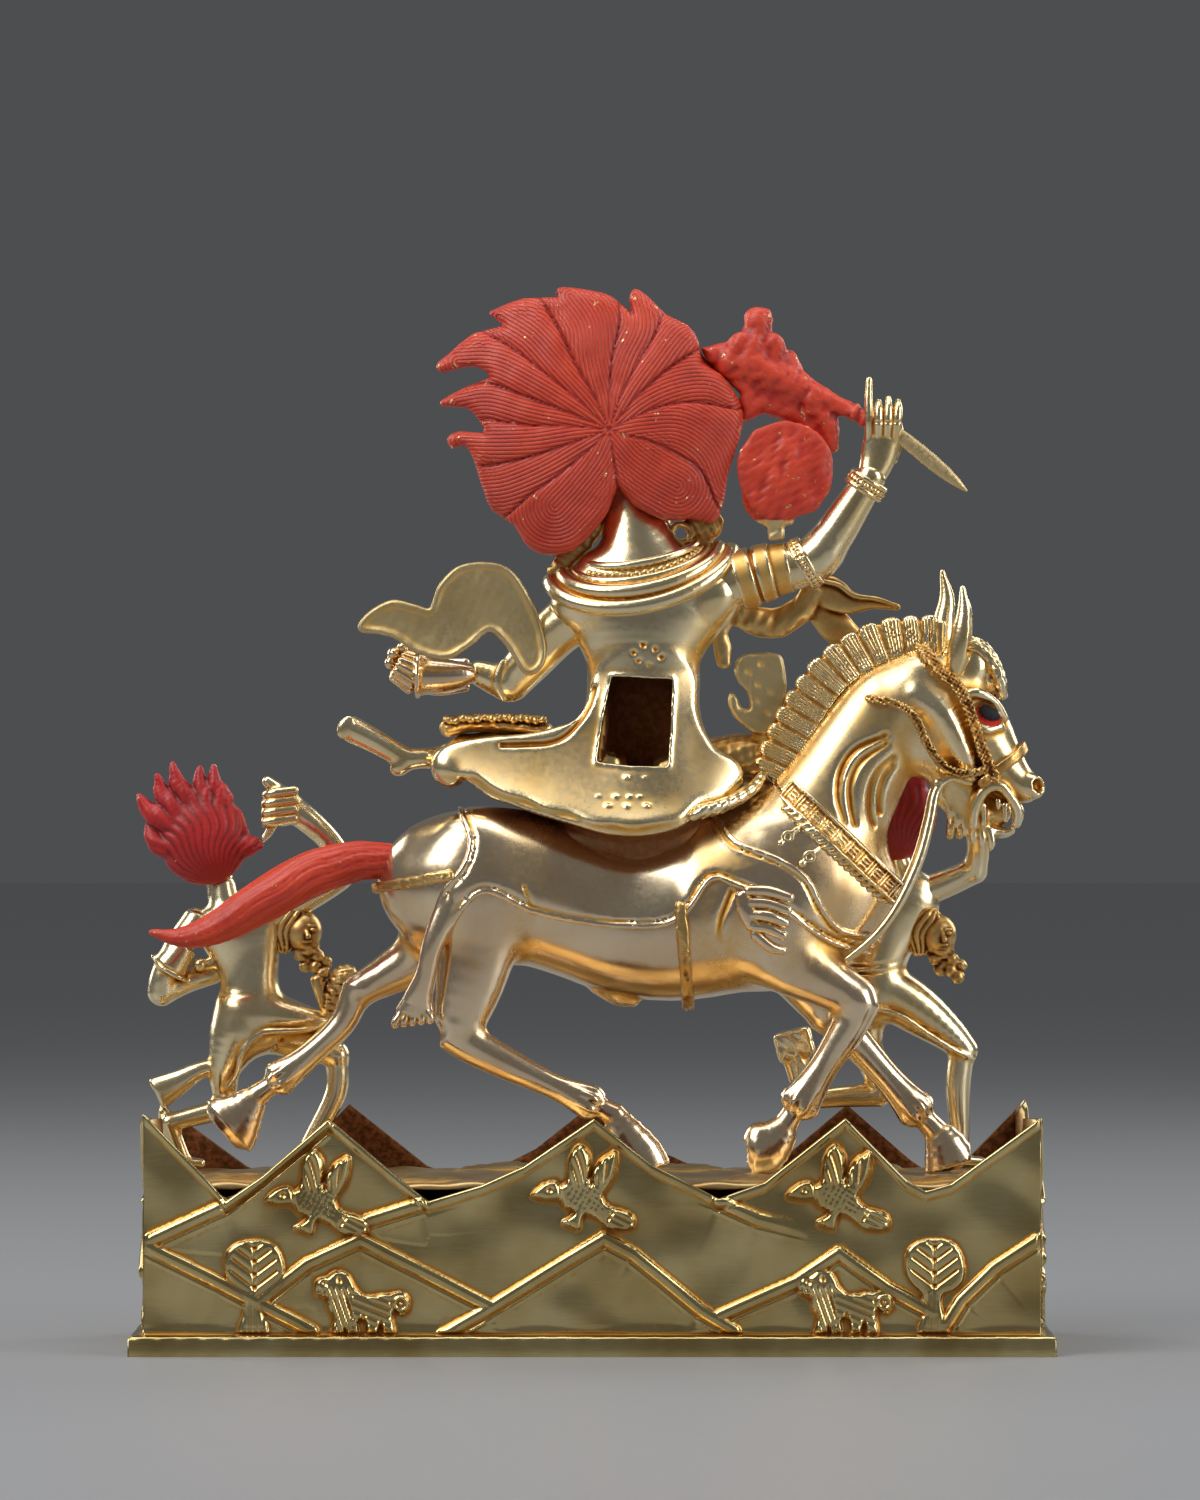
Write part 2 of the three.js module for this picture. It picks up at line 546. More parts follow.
// The casting is hollow, and its back has an open consecration hole.
function hollowTorso() {
  const hollow = loft(torsoLine.slice(2, 7), { sides: 12, grow: -castWall, cap: 0.2 });
  return cut(riderTorso(0), hollow, cavityHole(0));
}

const skirtLine = [
  [-66, 2, 25, 6, 5], [-57, 0, 24.5, 11, 7], [-44, -1, 20, 17, 10.5], [-28, -1.5, 15.5, 22, 14.5],
  [-10, -2, 17, 25, 19], [8, -2, 17, 25.5, 19], [23, -1, 15, 23, 13.5], [34, 0, 17.5, 17, 8], [40, 1, 19, 10, 4],
];

function robeSkirt(grow) {
  const outside = loft(skirtLine, { sides: 12, grow });
  const under = loft(
    skirtLine.map(([x, y, z, w, h]) => [x, y, z - 7, w - skirtWall - grow, h + 4.6 - skirtWall - grow]),
    { sides: 12 });
  const below = box([-12, 0, -30], [140, 90, 50]);
  return cut(outside, under, below, cavityHole(skirtWall / 2 - grow));
}

// The shawl's folds and its bead row follow ovals round the neck:
// [half width, half depth, height at the back, height at the sides, radius]
const shawlFolds = [
  [28, 16.2, 73.4, 85.6, 2.9], [24.4, 15.8, 78, 87.8, 2.7], [21, 14.8, 82.4, 89.8, 2.3], [17.8, 13, 86.4, 91.8, 2],
];
const beadRow = [21, 16.4, 85.6, 93, 1.5];

const ovalLoop = ([wide, deep, back, sides]) => (t) => {
  const a = 2 * Math.PI * t;
  const fall = Math.max(0, -Math.sin(a)) ** 1.2;
  const x = wide * Math.cos(a);
  return new THREE.Vector3(x - 1.5, deep * Math.sin(a), sides + (back - sides) * fall + shawlTilt * x);
};

// One collar, whose section has a round fold for each row of shawlFolds and a plain inside.
function shawl(grow) {
  const loops = shawlFolds.map(ovalLoop);
  return ringOf((t) => {
    const centres = loops.map((loop) => loop(t));
    const along = centres.at(-1).clone().sub(centres[0]).normalize();
    const out = new THREE.Vector3(Math.cos(2 * Math.PI * t), Math.sin(2 * Math.PI * t), 0);
    out.addScaledVector(along, -along.dot(out)).normalize();
    const outer = centres.flatMap((centre, k) => [-0.6, 0, 0.6].map((turn) => {
      const reach = shawlFolds[k].at(-1) + grow;
      return centre.clone()
        .addScaledVector(out, reach * (1 - 1.1 * turn * turn))
        .addScaledVector(along, shawlFolds[k].at(-1) * turn);
    }));
    const inner = [centres.at(-1), centres[0]].map((centre, k) => centre.clone()
      .addScaledVector(out, -1.8 - grow).addScaledVector(along, (k ? -1 : 1) * (1.6 + grow)));
    return [...outer, ...inner];
  }, 20);
}

const beads = (grow) => hoop(
  ovalLoop(beadRow), (t) => beadRow.at(-1) * (0.6 + 0.4 * Math.abs(Math.sin(Math.PI * t * beadCount))) + grow,
  { steps: beadCount * 2, sides: 4 });

const headCentre = [2, 6, 119];

function riderHead(grow) {
  const [x, y, z] = headCentre;
  return join(
    ball([x, y, z + 3], [13.2, 14, 14.5], { across: 12, down: 8, grow }),
    ball([x, y + 3, z - 6], [10.4, 11.5, 11], { across: 10, down: 6, grow }),
    ball([x, y + 13.8, z - 1], [2.4, 3.2, 3], { across: 6, down: 4, grow }), // nose
    ball([x - 12.6, y, z - 2], [2.6, 4, 6.4], { across: 6, down: 4, grow }),
    ball([x + 12.6, y, z - 2], [2.6, 4, 6.4], { across: 6, down: 4, grow }));
}

// A crown band with five skulls on it.
function skullCrown(grow) {
  const [x, y, z] = headCentre;
  const spots = [-62, -31, 0, 31, 62].map((a) => (a * Math.PI) / 180);
  const band = within(
    cut(ball([x, y, z + 3], [15.6, 16.4, 16.9], { across: 12, down: 8, grow }),
      ball([x, y, z + 3], [13.2, 14, 14.5], { across: 12, down: 8, grow: seam - grow })),
    box([x, y + 12, z + 10], [60, 25, 5]));
  const skulls = spots.map((a) => join(
    ball([x + Math.sin(a) * 15, y + Math.cos(a) * 15.4, z + 14], [3.4, 3, 4], { across: 6, down: 4, grow }),
    loft([[x + Math.sin(a) * 15, y + Math.cos(a) * 15.4, z + 16, 1.8],
      [x + Math.sin(a) * 15.8, y + Math.cos(a) * 16, z + 23, 0.6]], { sides: 5, grow })));
  return join(band, ...skulls);
}

// Flame hair: one domed shield whose locks sweep out of a whorl and end in flames.
const whorl = [-12.5, 131];
const flames = [ // [the tip, how the edge bows on its way to it, how it bows on its way back, the valley after it]
  [[-3.7, 175], [-5, 170], [3, 167], [13.5, 163]],
  [[16.9, 157.6], [15.6, 161], [17, 153], [18, 151]],
  [[31.2, 135], [27, 146], [31, 124], [26.3, 115]],
  [[21.5, 99.6], [26, 104], [17, 101], [14.6, 101]],
  [[5.5, 100.4], [10, 99.4], [-5, 102], [-8.8, 110.8]],
  [[-23, 90.6], [-13, 96], [-28, 87], [-36, 90.6]],
  [[-42, 98.8], [-39.4, 95], [-50, 103], [-55, 119.8]],
  [[-63.6, 125.2], [-57, 125], [-60, 130.4], [-52, 129]],
  [[-66, 138], [-58, 136], [-60, 142.6], [-50.2, 146.6]],
  [[-67, 149.6], [-58, 149.4], [-60, 160.6], [-46.4, 163]],
  [[-50.6, 166.6], [-48, 164], [-44, 172], [-28.6, 172]],
  [[-28, 175.6], [-29.6, 174], [-13, 176.6], [-4.6, 167]],
];

// A shape that runs from flame to flame in bowed lines.
function flameShape(grow) {
  const out = ([x, z]) => {
    const run = Math.hypot(x - whorl[0], z - whorl[1]);
    return [x + ((x - whorl[0]) * grow) / run, z + ((z - whorl[1]) * grow) / run];
  };
  const shape = new THREE.Shape().moveTo(...out(flames.at(-1)[3]));
  for (const [tip, going, coming, valley] of flames) {
    shape.quadraticCurveTo(...out(going), ...out(tip));
    shape.quadraticCurveTo(...out(coming), ...out(valley));
  }
  return shape;
}

function flameHair(grow) {
  const length = 60;
  const blank = new THREE.ExtrudeGeometry(flameShape(grow), { depth: length, bevelEnabled: false, curveSegments: 2 });
  const dome = new THREE.LatheGeometry([
    [0, -hairBack - grow], [16, -hairBack + 1 - grow], [32, -hairBack + 4.6 - grow], [45, -hairBack + 9.4 - grow],
    [58, -0.6 - grow], [58, hairFront - 0.6 + grow], [0, hairFront + grow],
  ].map(([r, y]) => new THREE.Vector2(r, y)), 20).translate(whorl[0], 0, whorl[1]);
  const grooves = flames.map(([, , , [x, z]]) => {
    const at = (share, y) => [whorl[0] + (x - whorl[0]) * share, y - grow, whorl[1] + (z - whorl[1]) * share];
    return loft([
      [...at(0.06, -hairBack), 0.5, lockGroove], [...at(0.5, -hairBack + 3), 0.8, lockGroove],
      [...at(1, -hairBack + 11), 1, lockGroove * 1.6]], { sides: 4, side: [z - whorl[1], 0, whorl[0] - x] });
  });
  const shield = within(solidOf(blank.rotateX(Math.PI / 2).translate(0, length / 2, 0)), solidOf(dome));
  const crest = ball([headCentre[0] - 1, 6, 143], [19, 11.5, 13], { across: 10, down: 6, grow }); // over the brow
  return join(cut(shield, ...grooves), crest);
}

// A broad ear plug on a hook, with a short drop.
const earring = (side) => (grow) => join(
  ball([side * 16.6 + 2, 8, 100.5], [5.2, 2, 5], { across: 8, down: 4, grow }),
  loft([[side * 12.8 + 2, 8, 111.5, 1.5], [side * 16.2 + 2, 8, 101.5, 1.5]], { sides: 6, grow }),
  loft([[side * 17.4 + 2, 8, 98, 2.2], [side * 18.6 + 2, 7, 91.5, 1.6]], { sides: 6, grow }));

const rightArm = (grow) => join(
  loft([[20, 0, 76, 9, 9], [32, -1, 81.5, 8.2, 8.4], [44, -2, 84, 7.8, 8], [53, -3, 86, 7, 7.4]], { sides: 8, grow }),
  loft([[54, -3, 86.5, 6.6, 6.8], [61, -4, 95, 6.6, 6.8], [67, -5, 104.5, 5.6, 5.8], [71.5, -6, 112.5, 4.6, 4.8]],
    { sides: 8, grow }));

const wrist = [71.5, -6, 112.5];

function rightHand(grow) {
  const palm = loft([[73, -6, 117.4, 3.4, 4.6], [74.6, -6, 122, 3.6, 5.8], [75.6, -6.5, 126.6, 3.2, 5.8]],
    { sides: 8, grow });
  const fingers = [-4.4, -1.6, 1.3, 4.2].map((x, i) => loft([
    [75.6 + x, -7, 126.5, 1.5], [75.4 + x * 1.05, -9.6, 131.5, 1.4],
    [75.2 + x * 0.95, -9.4, 136 + (i === 0 ? 3 : 0), 1.3], [75 + x * 0.9, -8, 139 + (i === 0 ? 6.6 : 0), 0.8]],
  { sides: 5, grow }));
  const thumb = loft([[79, -4, 121, 1.7], [80.6, -2.6, 128, 1.5], [80, -2.4, 133, 1.1]], { sides: 5, grow });
  return join(palm, ...fingers, thumb);
}

// Ringed bands round the arm: sleeves along its line, hollowed by the arm itself.
const armlet = (grow) => loft(
  [34, 36.2, 38.4, 40.6, 42.8, 45, 47].map((x, i) => [x, -1.6 - i * 0.1, 81.8 + i * 0.46, i % 2 ? 10.9 : 9.6]),
  { sides: 10, cap: 0.05, grow });

const bracelet = (grow) => loft(
  [0, 1.4, 2.8].map((along, i) => [68.2 + along * 0.5, -5.2 - i * 0.2, 106 + along * 0.87, i === 1 ? 7.4 : 6.6]),
  { sides: 10, cap: 0.05, grow });

// A danda club held across the hand, painted red up to the grip and ending in a bare blade.
function club(grow) {
  const shaft = loft([[79, -7, 129.5, 2.2], [62, -5, 137, 2.6], [50, -3, 143.6, 5], [38, -1, 149.4, 8],
    [26, 0, 153.6, 6.4], [16, 0, 157, 4]], { sides: 6, grow });
  const blade = loft([[77, -7, 130.4, 1.4, 2.4], [88, -7.6, 121.4, 1.3, 2.8], [97, -8, 114.4, 1, 2.4],
    [101.4, -8, 110.4, 0.4, 0.6]], { sides: 6, grow });
  const skull = join(
    loft([[37.5, -1, 152, 4.4], [36.6, -1, 159, 4.2], [36.6, -1, 165, 5.4]], { sides: 6, grow }),
    ball([38, -1, 168], [4.6, 4.4, 4.6], { across: 6, down: 4, grow }));
  const hook = loft([[47, -3, 142, 5], [56, -3, 136, 4.4], [60.5, -3, 129, 3.6], [61.6, -3, 122.6, 2.6]],
    { sides: 6, grow });
  return join(shaft, blade, skull, hook);
}

const flameDisc = (grow) => join(
  solidOf(new THREE.CylinderGeometry(14.6 + grow, 13.4 + grow, 5 + 2 * grow, 16).translate(44.8, -5, 118)),
  loft([[42.6, -5, 106, 2.6, 5.4], [41, -4.4, 100, 2.6, 4.6], [41.8, -3.6, 95, 2.6, 3.4]], { sides: 6, grow }));

const leftArm = (grow) => join(
  loft([[-20, 1, 71, 8.4, 8.6], [-30, 4, 64, 7.8, 8], [-38, 7, 55, 6.8, 7], [-43.5, 10, 48.5, 6, 6]],
    { sides: 8, grow }),
  loft([[-43.5, 10, 48.5, 5.8], [-48.5, 10.5, 50.4, 5], [-53, 11, 52.4, 4]], { sides: 6, grow }));

function skullCup(grow) {
  const bowl = loft([[-60, 11, 50.6, 6.5, 5], [-67, 11, 51.2, 9, 7.4], [-74.6, 11, 53, 9.4, 6.6]],
    { sides: 12, grow, cap: 0.25 });
  const fingers = [-2.4, 0.4, 3.2].map((z) => loft(
    [[-55, 9.6, 52.5 + z, 1.5], [-60, 5, 51.5 + z, 1.6], [-64, 1.6, 50.6 + z, 1.3]], { sides: 6, grow }));
  const swirl = ball([-77.4, 11, 57.6], [3, 5, 3], { across: 6, down: 4, grow });
  return join(bowl, swirl, ...fingers);
}

// Scarf ends that fly out flat, one on each side.
const leftScarf = (grow) => {
  const outline = [
    [-33, 56], [-38, 52], [-44, 61], [-50, 66], [-57, 60], [-64, 56.6], [-74, 59.5], [-81, 64], [-91, 66],
    [-88, 70], [-81, 74], [-74, 72.6], [-68, 72], [-65, 80], [-58, 85.6], [-49, 86], [-43, 83.4], [-37.5, 75.5],
    [-34, 66],
  ];
  return plate(outline, -5.5 - grow, scarfThickness + 2 * grow, { smooth: 2 });
};

const rightScarf = (grow) => join(
  loft([[31, 6, 73, 2, 4], [40, 9, 68.4, 2.4, 5], [50, 9, 69.6, 2.4, 5], [56, 8, 76, 2, 5]],
    { sides: 6, grow }),
  loft([[53, 8, 74.5, 1.8, 4.6], [62, 8, 71.5, 1.6, 5.4], [70, 8, 71.8, 1.5, 3.8], [79.5, 8, 72.6, 1.2, 1.4]],
    { sides: 6, grow }),
  loft([[58, 9, 72, 1.8, 5.4], [64, 10, 64, 1.8, 5], [71, 11, 57.6, 1.8, 3.4]], { sides: 6, grow }));

const leftLeg = (grow) => join(
  loft([[-8, 9, 20, 9.5], [-26, 14, 26, 8.6, 8], [-44, 15, 27.6, 7.6, 7], [-58, 13, 27, 6, 6.4]],
    { sides: 8, grow }),
  loft([[-58, 13, 26, 5.4], [-66, 9, 24, 4], [-71, 5.5, 22.6, 3.6]], { sides: 6, grow }),
  loft([[-71, 5, 22.6, 3.6, 3.8], [-76.5, 4, 23, 3.4, 4.6], [-86, 4, 29, 3, 3.4], [-94, 4, 34, 3.8, 3.6]],
    { sides: 6, grow }));

const thighFringe = (grow) => loft(
  [[-34, 12, 34.5, 8, 2.4], [-46, 12, 36, 8.4, 2.6], [-56, 12, 36, 7.6, 2.6], [-62, 12, 33, 6, 2.4]],
  { sides: 8, grow });

// The near-side boot of the robe over the right knee, then the shin down the mule's far side.
const rightLeg = (grow) => join(
  loft([[8, 12, 18, 9.5], [24, 14, 22, 8.6], [38, 13, 23.5, 7.6]], { sides: 8, grow }),
  loft([[39, 14, 23, 6.8], [40, 20, 8, 6], [37, 25.5, -14, 5.2], [34, 28, -32, 3.8]],
    { sides: 10, side: [1, 0, 0], grow }),
  loft([[34, 28, -34, 3.6, 3.6], [37, 30, -41, 4, 3.2], [42, 33, -46, 4.4, 2.4]],
    { sides: 8, side: [0, 1, 0], grow }));

// A curled scarf end that stands up behind the right knee.
const curledEnd = (grow) => {
  const outline = [
    [26, 46], [28, 36.6], [34, 32], [42, 33], [46.6, 40], [46, 50], [43.6, 58.5], [34, 59.5], [28, 55],
    [28.6, 49.5], [33.6, 47], [36.5, 42], [32, 39.6],
  ];
  return join(
    plate(outline, 3 - grow, 6 + 2 * grow, { smooth: 2 }),
    loft([[38, 6, 35, 3, 4.4], [40, 7, 29, 3, 4]], { sides: 6, grow }));
};

// The attendants, in millimetres above the ground plate

function rearTorso(grow) {
  return join(
    loft([[-1, 0, 38, 9.5, 12], [-1, 0, 48, 9, 12.6], [0, 0, 57, 8, 10.6], [0, 0, 66, 7.4, 9.8], [-3, 0, 76, 8, 14],
      [-5, 0, 82, 7, 15.5]], { sides: 12, grow }),
    loft([[-7, 0, 84, 5.4], [-8.5, 1, 92, 4.6]], { sides: 6, grow }),
    loft([[-2, 0, 46, 8.4, 9], [-7, 0, 37, 7.4, 8], [-9, 0, 30, 5, 5.4]], { sides: 8, grow }), // skirt's left fold
    loft([[2, 0, 46, 8.6, 9], [13, 1, 42, 7.6, 7.6], [24, 1, 44, 5, 4.4]], { sides: 8, grow }), // and its right
    loft([[4, 3, 42, 5.6], [18, 4, 38, 5.2], [30, 4, 34.5, 4.4]], { sides: 6, grow }), // forward thigh
    loft([[30.5, 4, 34.5, 4.3], [28, 4, 22, 4], [22, 4, 10, 3.2], [18, 4, 4, 3]], { sides: 6, grow }),
    loft([[16, 4, 3.6, 3.4, 2.6], [24, 5, 2.6, 3.6, 2.2]], { sides: 6, grow }),
    loft([[-8, 1, 32, 4.6], [-8, 0, 22, 4.2], [-14, -1, 17, 4]], { sides: 6, grow }), // trailing leg, bent back
    loft([[-13, -1, 17.6, 4], [-26, -2, 15.4, 3.4]], { sides: 6, grow }),
    loft([[-26, -2, 15, 3], [-23, -1, 8, 2.8], [-21.5, 0, 3.2, 2.8]], { sides: 6, grow }),
    loft([[-9, -2, 32, 3], [-17, -3, 30, 2.8, 3.4], [-27, -4, 25, 3, 6.4], [-31, -4, 22.6, 2.6, 7]],
      { sides: 6, grow, cap: 0.4 }));
}

const rearHead = (grow) => join(
  ball([-11, 6, 104], [8.6, 9, 10], { across: 8, down: 6, grow }),
  ball([-11, 14, 101], [4.6, 5, 4.4], { across: 6, down: 4, grow }));

// A small flame of hair: a bulb with tips that lick up and back.
const smallHair = (tips, centre) => (grow) => {
  const [x, y, z] = centre;
  const locks = tips.map(([tipX, tipZ, half], i) => loft([
    [x + (tipX - x) * 0.05, y, z + (tipZ - z) * 0.05, 5.4, 6],
    [x + (tipX - x) * 0.55, y - (i % 2), z + (tipZ - z) * 0.55, 4.4, half],
    [x + (tipX - x) * 0.94, y, z + (tipZ - z) * 0.94, 1.6, 1.5]], { sides: 6, grow }));
  return join(ball([x, y, z], [12.4, 6.4, 13], { across: 8, down: 6, grow }), ...locks);
};

const rearHair = smallHair(
  [[-33, 121, 5], [-28, 127, 5.4], [-22.5, 131, 5.6], [-11.5, 130, 6.4], [-31, 111.5, 5.4], [-2.5, 113, 8],
    [-18, 92, 8]], [-14.5, -4, 107]);

const rearRaisedArm = (grow) => join(
  loft([[9, 0, 82, 5], [20, 0, 89, 4.8], [31, 1, 96, 4.4]], { sides: 6, grow }),
  loft([[31.5, 1, 96.5, 4.2], [25, 0, 107, 3.8], [18, -1, 113, 4.4], [13, -1, 116, 4.8]], { sides: 6, grow }),
  ...[-4.5, -1.5, 1.5, 4.5].map((z) => loft(
    [[12, -4, 116.5 + z, 1.7, 1.6], [6.5, -4, 117 + z, 1.8, 1.7]], { sides: 6, grow })),
  loft([[12, -1, 116, 4, 6], [7, -1, 117.5, 3.6, 6]], { sides: 6, grow }));

const rearLowArm = (grow) => join(
  loft([[-18, 0, 79, 4.8], [-24, -1, 69, 4.6], [-28.5, -2, 60.5, 4.4]], { sides: 6, grow }),
  loft([[-31, -2.6, 64, 2.4, 5.4], [-25, -3, 65, 2.4, 4.6]], { sides: 6, grow }),
  loft([[-28.5, -1, 57, 4.6, 5], [-20, 1, 61, 3.6], [-12, 4, 63, 3.4]], { sides: 6, grow }));

// A severed head that hangs from a belt by its hair.
const severedHead = (x, y, z, lean) => (grow) => join(
  ball([x, y, z], [6, 5.6, 6.8], { across: 8, down: 6, grow }),
  ball([x + lean * 1.6, y, z - 5.6], [3.6, 3.6, 3.8], { across: 6, down: 4, grow }),
  loft([[x - lean * 2.4, y + 2, z + 6, 2.6], [x - lean * 5, y + 5, z + 11, 2]], { sides: 6, grow }),
  loft([[x + lean * 3.6, y, z - 8.6, 3, 3.4], [x + lean * 6.6, y, z - 13.5, 2.4, 3.4]], { sides: 6, grow }));

// A furred tassel on a short stem, beside the rear attendant's knee.
const furTassel = (grow) => join(
  loft([[25.6, 1, 44, 3, 3.4], [26.4, 0, 50, 4, 5], [29.5, -1, 58, 4, 6.4], [32, -1, 61.4, 3.4, 5]],
    { sides: 6, grow }),
  ball([22.4, -1, 59], [3, 3, 3], { across: 6, down: 4, grow }));

function frontTorso(grow) {
  return join(
    loft([[-9, 0, 52, 9, 10], [-9, 0, 63, 8.4, 9.8], [-5, 0, 75, 8, 11], [1, 0, 87, 8, 13], [2.5, 0, 93, 6, 10]],
      { sides: 12, grow }),
    loft([[0, 0, 93, 4.6], [-2, 0, 101, 4.4]], { sides: 6, grow }),
    loft([[-5, 0, 56, 8.4, 8.6], [6, 0, 50, 7.6, 8.4], [16, 0, 42.5, 6, 5.6], [21, 0, 38, 4.4, 4]],
      { sides: 8, grow }), // skirt over the forward thigh
    loft([[20, 0, 38, 4.2], [18.4, 0, 24, 4], [19, 0, 10, 3.2], [19, 0, 4, 3]], { sides: 6, grow }),
    loft([[18, 0, 3.4, 3.4, 2.6], [26, 1, 2.6, 3.6, 2.2]], { sides: 6, grow }),
    loft([[-12, 1, 52, 7, 8], [-12, 2, 38, 5.4], [-6.5, 2, 25, 4.4]], { sides: 6, grow }), // trailing thigh
    loft([[-6.5, 2, 24, 4.4, 4.6], [-18, 2, 23, 4.2], [-30, 2, 22, 3.4], [-34, 2, 30, 3.2], [-34, 2, 36, 4, 5.4],
      [-35.5, 2, 41, 3.4, 6]], { sides: 6, grow, cap: 0.5 }));
}

const frontHead = (grow) => join(
  ball([-1, 7, 112], [8.4, 9, 10], { across: 8, down: 6, grow }),
  ball([-1, 15, 109], [4.4, 5, 4.2], { across: 6, down: 4, grow }));

const frontHair = smallHair(
  [[-12, 136, 5], [-2, 139, 5.6], [8, 134, 5.4], [-17, 126, 5.4], [10, 121, 6], [-6, 98, 8]], [-2.5, -4, 114]);

const frontRaisedArm = (grow) => join(
  loft([[9, 0, 90, 4.8], [17, 0, 93.5, 4.4], [23, -1, 97, 4.2]], { sides: 6, grow }),
  loft([[23.4, -1, 97, 4], [24, -6, 106, 3.6], [21, -12, 112.5, 3.8]], { sides: 8, side: [1, 0, 0], grow }),
  ...[-6, -2, 2, 6].map((x) => loft(
    [[20 + x * 0.6, -12, 112, 2.2, 1.9], [19 + x, -15.5, 107.5, 1.9, 1.7]], { sides: 6, side: [1, 0, 0], grow })));

const frontLowArm = (grow) => join(
  loft([[-8, 1, 89, 4.8], [-13, 6, 80, 4.4], [-14, 12, 72, 4]], { sides: 8, side: [1, 0, 0], grow }),
  loft([[-14, 12, 72, 3.8], [-6, 15, 74, 3.4], [1, 14, 77, 3.2]], { sides: 6, grow }));

// Placing: each figure's pieces are made in its own frame, and trimmed where they seat on each other.

const frames = {
  base: new THREE.Vector3(0, 0, 0),
  mule: new THREE.Vector3(0, 0, plateTop),
  rider: new THREE.Vector3(seatX, 0, plateTop + seatHeight),
  rear: new THREE.Vector3(rearAttendantX, attendantY, plateTop),
  front: new THREE.Vector3(frontAttendantX, attendantY, plateTop),
};

const gilt = { color: 0xd8b26a, roughness: 0.3, metalness: 1 };
const roseGilt = { color: 0xd3ab86, roughness: 0.28, metalness: 1 };
const antique = { color: 0xb07a34, roughness: 0.42, metalness: 1 };
const vermilion = { color: 0xc4271c, roughness: 0.55, metalness: 0 };
const crimson = { color: 0x8e1016, roughness: 0.5, metalness: 0 };

const pieces = {};

// A piece is cut back, by the seam, from every piece named in seatsOn.
function piece(name, frame, look, make, seatsOn = [], shape = () => make(0)) {
  pieces[name] = { frame, look, make };
  const tools = seatsOn.map((other) => {
    const { frame: otherFrame, make: otherMake } = pieces[other];
    const shift = frames[otherFrame].clone().sub(frames[frame]);
    return moved(otherMake(seam), shift.toArray());
  });
  const mesh = new THREE.Mesh(largestOf(cut(shape(), ...tools)), new THREE.MeshStandardMaterial(look));
  mesh.name = name;
  groups[frame].add(mesh);
}

const statue = new THREE.Group();
const groups = Object.fromEntries(Object.entries(frames).map(([name, origin]) => {
  const group = new THREE.Group();
  group.position.copy(origin);
  statue.add(group);
  return [name, group];
}));

function addWall(name, make, position, quarterTurns) {
  const mesh = new THREE.Mesh(largestOf(make()), new THREE.MeshStandardMaterial(gilt));
  mesh.name = name;
  mesh.position.set(...position);
  mesh.rotation.z = (quarterTurns * Math.PI) / 2;
  groups.base.add(mesh);
}

addWall("rear_wall", longWall, [0, -wallY, 0], 0);
addWall("right_wall", shortWall, [wallX, 0, 0], 1);
addWall("front_wall", longWall, [0, wallY, 0], 2);
addWall("left_wall", shortWall, [-wallX, 0, 0], 3);

piece("ground_plate", "base", antique, groundPlate);

const hoofed = ["ground_plate"];
piece("mule_body", "mule", roseGilt, muleBody);
piece("near_hind_leg", "mule", roseGilt, nearHindLeg, [...hoofed, "mule_body"]);
piece("far_hind_leg", "mule", roseGilt, farHindLeg, [...hoofed, "mule_body"]);
piece("near_fore_leg", "mule", roseGilt, nearForeLeg, [...hoofed, "mule_body"]);
piece("far_fore_leg", "mule", roseGilt, farForeLeg, [...hoofed, "mule_body", "near_fore_leg"]);
piece("tail", "mule", vermilion, tail, ["mule_body"]);
const legs = ["near_hind_leg", "far_hind_leg", "near_fore_leg", "far_fore_leg"];
piece("breast_collar", "mule", gilt, breastCollar, legs);
piece("headstall", "mule", gilt, headstall);
piece("noseband", "mule", gilt, noseband, ["headstall"]);
piece("mane", "mule", gilt, mane, ["mule_body", "breast_collar", "headstall"]);
piece("near_ear", "mule", gilt, ear(-1), ["mule_body", "headstall"]);
piece("far_ear", "mule", gilt, ear(1), ["mule_body", "headstall"]);
piece("forelock", "mule", gilt, forelock, ["mule_body", "mane", "near_ear", "far_ear", "headstall"]);
piece("girth_strap", "mule", antique, girthStrap, legs);
piece("flayed_skin", "mule", roseGilt, flayedSkin, [...legs, "tail", "breast_collar", "girth_strap", "mane"]);
piece("crupper_strap", "mule", antique, crupperStrap, [...legs, "tail", "flayed_skin"]);
const harness = ["mule_body", "near_fore_leg", "far_fore_leg", "breast_collar", "flayed_skin", "headstall"];
piece("near_rein", "mule", gilt, rein(-1), harness);
piece("far_rein", "mule", gilt, rein(1), harness);

piece("rider_torso", "rider", gilt, riderTorso, ["mule_body", "flayed_skin"], hollowTorso);
piece("rider_skirt", "rider", gilt, robeSkirt, ["rider_torso", "mule_body", "flayed_skin", "mane", "breast_collar"]);
piece("shoulder_shawl", "rider", gilt, shawl, ["rider_torso"]);
piece("shawl_beads", "rider", gilt, beads, ["rider_torso", "shoulder_shawl"]);
piece("rider_head", "rider", gilt, riderHead, ["rider_torso", "shoulder_shawl"]);
piece("skull_crown", "rider", gilt, skullCrown, ["rider_head"]);
piece("flame_hair", "rider", vermilion, flameHair,
  ["rider_head", "rider_torso", "skull_crown", "shoulder_shawl", "shawl_beads"]);
const headPieces = ["rider_head", "rider_torso", "shoulder_shawl", "flame_hair", "shawl_beads"];
piece("left_earring", "rider", antique, earring(-1), headPieces);
piece("right_earring", "rider", antique, earring(1), headPieces);
piece("right_arm", "rider", gilt, rightArm, ["rider_torso", "shoulder_shawl"]);
piece("armlet", "rider", gilt, armlet, ["right_arm", "rider_torso"]);
piece("bracelet", "rider", gilt, bracelet, ["right_arm"]);
piece("club", "rider", vermilion, club, ["flame_hair"]);
piece("right_hand", "rider", gilt, rightHand, ["right_arm", "bracelet", "club"]);
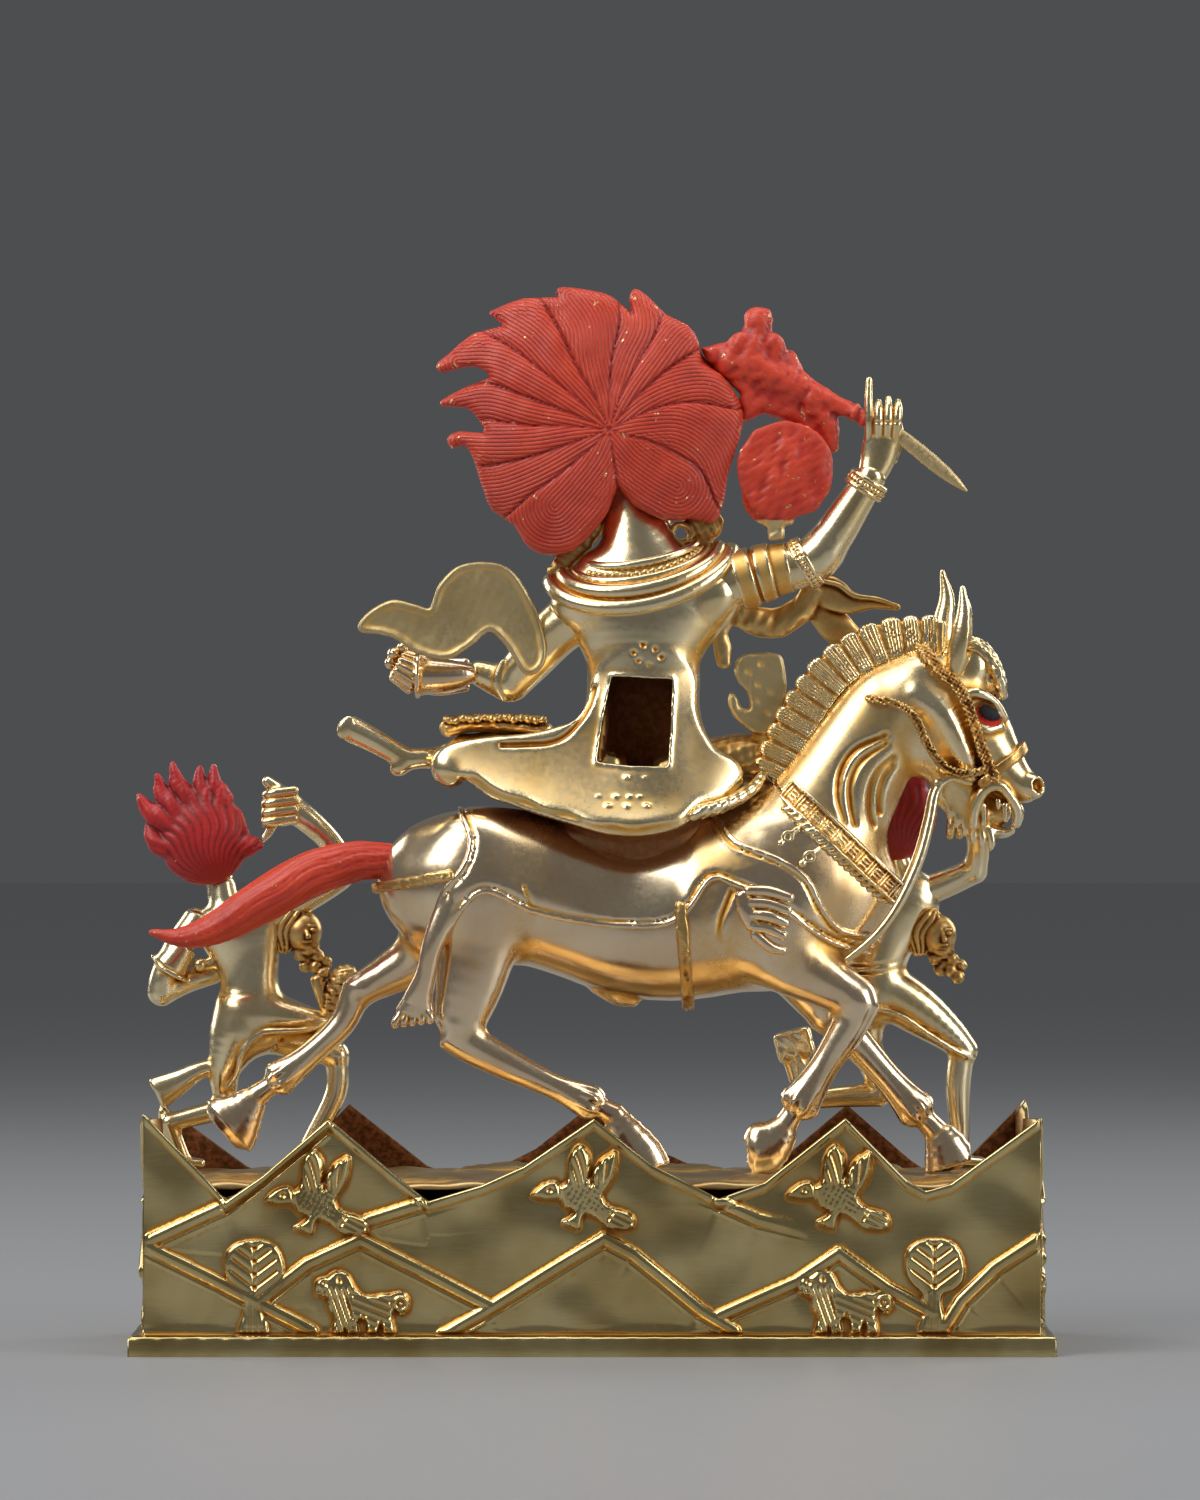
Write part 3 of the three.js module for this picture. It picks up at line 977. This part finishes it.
piece("flame_disc", "rider", vermilion, flameDisc, ["right_arm", "armlet", "flame_hair", "club", "bracelet"]);
piece("left_arm", "rider", gilt, leftArm, ["rider_torso", "shoulder_shawl"]);
piece("skull_cup", "rider", gilt, skullCup, ["left_arm"]);
piece("left_scarf", "rider", gilt, leftScarf, ["left_arm", "skull_cup"]);
piece("right_scarf", "rider", antique, rightScarf, ["right_arm", "armlet", "mane", "mule_body"]);
piece("left_leg", "rider", gilt, leftLeg, ["rider_torso", "rider_skirt", "flayed_skin", "mule_body"]);
piece("right_leg", "rider", antique, rightLeg,
  ["rider_torso", "rider_skirt", "flayed_skin", "mule_body", "breast_collar", "far_rein", "far_fore_leg", "mane"]);
piece("thigh_fringe", "rider", antique, thighFringe, ["left_leg", "rider_skirt"]);
piece("curled_end", "rider", antique, curledEnd, ["rider_skirt", "right_leg", "mane", "mule_body"]);

piece("rear_attendant", "rear", gilt, rearTorso, ["ground_plate", "far_hind_leg", "tail"]);
piece("rear_attendant_head", "rear", gilt, rearHead, ["rear_attendant"]);
piece("rear_attendant_hair", "rear", crimson, rearHair, ["rear_attendant", "rear_attendant_head"]);
piece("rear_raised_arm", "rear", gilt, rearRaisedArm, ["rear_attendant", "rear_attendant_hair", "tail", "flayed_skin"]);
piece("rear_low_arm", "rear", gilt, rearLowArm, ["rear_attendant", "tail"]);
piece("rear_severed_head", "rear", antique, severedHead(18.5, -2, 76, 1),
  ["rear_attendant", "rear_raised_arm", "tail", "flayed_skin"]);
piece("fur_tassel", "rear", antique, furTassel, ["rear_attendant", "far_hind_leg", "rear_severed_head"]);

piece("front_attendant", "front", gilt, frontTorso,
  ["ground_plate", "far_fore_leg", "mule_body", "far_rein", "breast_collar", "flayed_skin"]);
piece("front_attendant_head", "front", gilt, frontHead, ["front_attendant", "mule_body", "headstall"]);
piece("front_attendant_hair", "front", crimson, frontHair,
  ["front_attendant", "front_attendant_head", "mule_body", "headstall", "far_rein"]);
piece("front_raised_arm", "front", gilt, frontRaisedArm,
  ["front_attendant", "mule_body", "front_attendant_hair", "front_attendant_head", "headstall", "noseband"]);
piece("front_low_arm", "front", gilt, frontLowArm, ["front_attendant"]);
piece("front_severed_head", "front", antique, severedHead(11.5, -9, 75.5, 0.6),
  ["front_attendant", "front_raised_arm", "far_rein"]);

export default statue;
